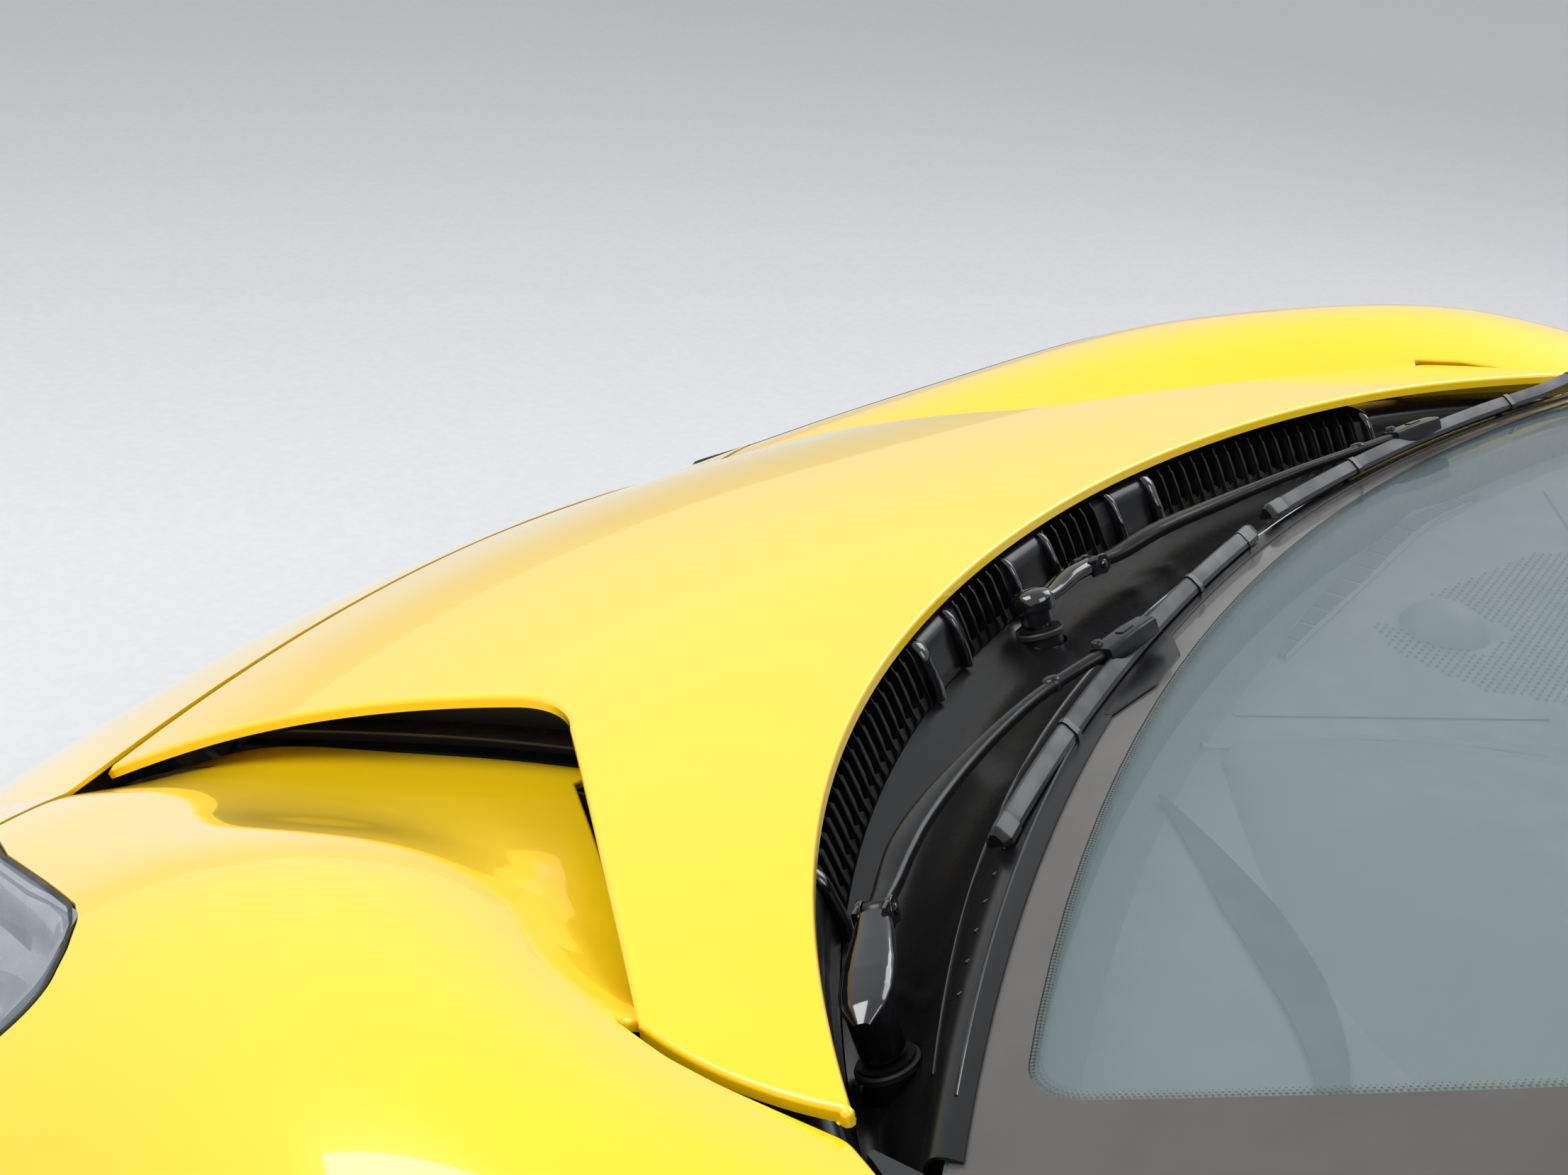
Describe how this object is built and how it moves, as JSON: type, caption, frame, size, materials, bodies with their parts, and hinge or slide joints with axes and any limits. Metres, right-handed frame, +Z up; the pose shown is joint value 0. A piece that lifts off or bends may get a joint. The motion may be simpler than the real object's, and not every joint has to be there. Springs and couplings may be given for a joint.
{
  "type": "front body section of a coupe car",
  "caption": "Front body section of a coupe: hinged bonnet with side air outlets, wings, nose, headlamps, louvred scuttle, two wipers that sweep and lift, and a raked windscreen.",
  "frame": {"origin": "centre of the four-bolt mounting face on the rear of the bulkhead, on the car's centre plane", "axes": "+X is the car's left, +Y points rearwards out of the mounting face, +Z is up"},
  "size_m": [1.9206, 2.1181, 1.0461],
  "materials": {
    "paint": "gloss",
    "bare_metal": "satin",
    "dark_metal": "satin",
    "black_plastic": "textured satin",
    "gloss_black": "gloss",
    "rubber": "matte",
    "screen_glass": "gloss",
    "lamp_lens": "gloss",
    "lamp_inside": "satin",
    "dash_trim": "soft grained"
  },
  "bodies": {
    "front_section": {"hinge_brackets": "bare_metal", "bonnet_latches": "bare_metal", "wing_left": "paint", "wing_right": "paint", "nose_panel": "paint", "headlamp_lens_left": "lamp_lens", "headlamp_lens_right": "lamp_lens", "headlamp_housings": "lamp_inside", "headlamp_modules": "lamp_inside", "centre_grille": "black_plastic", "side_grilles": "black_plastic", "splitter": "black_plastic", "bulkhead": "dark_metal", "front_rails": "bare_metal", "crossmember": "bare_metal", "radiator": "bare_metal", "front_tray": "black_plastic", "inner_wings": "dark_metal", "outlet_ducts": "black_plastic", "arch_liners": "black_plastic", "door_posts": "dark_metal", "undertray": "black_plastic", "scuttle_panel": "black_plastic", "glass_strip": "black_plastic", "cowl_rail": "dark_metal", "windscreen": "screen_glass", "pillars": "dark_metal", "pillar_trims": "gloss_black", "header_rail": "dark_metal", "dashboard": "dash_trim", "instrument_hood": "dash_trim", "demister_vent": "dash_trim", "sensor_pod": "dash_trim", "wiper_post_left": "black_plastic", "wiper_post_centre": "black_plastic"},
    "bonnet": {"bonnet_skin": "paint", "bonnet_frame": "dark_metal", "bonnet_hinge_arms": "bare_metal", "bonnet_strikers": "bare_metal"},
    "wiper_left_head": {"wiper_head_left": "gloss_black"},
    "wiper_left_arm": {"wiper_arm_left": "gloss_black", "wiper_blade_left": "rubber"},
    "wiper_centre_head": {"wiper_head_centre": "gloss_black"},
    "wiper_centre_arm": {"wiper_arm_centre": "gloss_black", "wiper_blade_centre": "rubber"}
  },
  "joints": [
    {"name": "bonnet_hinge", "type": "hinge", "parent": "front_section", "child": "bonnet", "pos_m": [0, -1.08, 0.08], "axis": [1, 0, 0], "range_deg": [0, 50]},
    {"name": "wiper_left_sweep", "type": "hinge", "parent": "front_section", "child": "wiper_left_head", "pos_m": [0.576, -0.2, 0.39018], "axis": [-0.0632, 0.4215, -0.9046], "range_deg": [0, 83]},
    {"name": "wiper_left_lift", "type": "hinge", "parent": "wiper_left_head", "child": "wiper_left_arm", "pos_m": [0.506, -0.234, 0.39123], "axis": [-0.308, 0.8539, 0.4195], "range_deg": [0, 60]},
    {"name": "wiper_centre_sweep", "type": "hinge", "parent": "front_section", "child": "wiper_centre_head", "pos_m": [0.052, -0.362, 0.36859], "axis": [0.0632, 0.4215, -0.9046], "range_deg": [0, 83]},
    {"name": "wiper_centre_lift", "type": "hinge", "parent": "wiper_centre_head", "child": "wiper_centre_arm", "pos_m": [-0.028, -0.349, 0.37305], "axis": [0.2763, 0.8636, 0.4217], "range_deg": [0, 60]}
  ],
  "couplings": [
    {"joint": "wiper_centre_sweep", "follows": "wiper_left_sweep", "ratio": 1}
  ]
}
